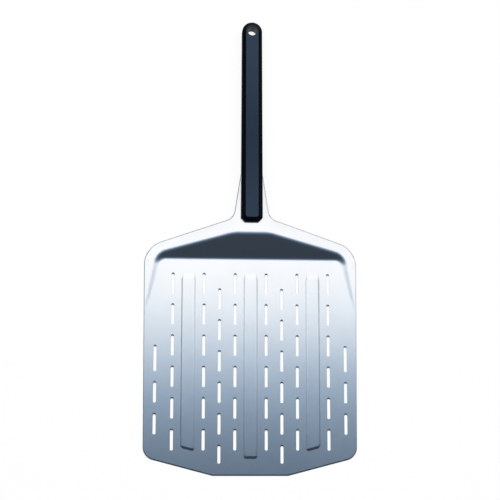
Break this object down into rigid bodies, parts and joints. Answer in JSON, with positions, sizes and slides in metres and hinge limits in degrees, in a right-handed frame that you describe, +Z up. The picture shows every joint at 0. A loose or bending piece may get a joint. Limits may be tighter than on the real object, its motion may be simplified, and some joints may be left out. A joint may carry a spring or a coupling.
{
  "type": "pizza peel",
  "caption": "Perforated pizza peel: pressed aluminium blade with slots, ribs and a raised neck, on a chamfered two-shell handle with a hanging hole.",
  "frame": {"origin": "centre of the part's box on the surface that it lies on, under the blade's flat floor", "axes": "+Z up out of the working face, +Y along the handle towards its hanging end, +X to the right seen from above with the handle pointing away"},
  "size_m": [0.3068, 0.6564, 0.0315],
  "materials": {
    "blade_aluminium": "satin anodised sheet",
    "handle_plastic": "fine moulded texture",
    "screw_steel": "plain stainless",
    "insert_brass": "machined"
  },
  "bodies": {
    "root": {"blade": "blade_aluminium", "handle_upper_shell": "handle_plastic", "handle_lower_shell": "handle_plastic", "neck_screw": "screw_steel", "tang_screw": "screw_steel", "grip_screw": "screw_steel", "end_screw": "screw_steel", "neck_insert": "insert_brass", "tang_insert": "insert_brass", "grip_insert": "insert_brass", "end_insert": "insert_brass"}
  },
  "joints": []
}
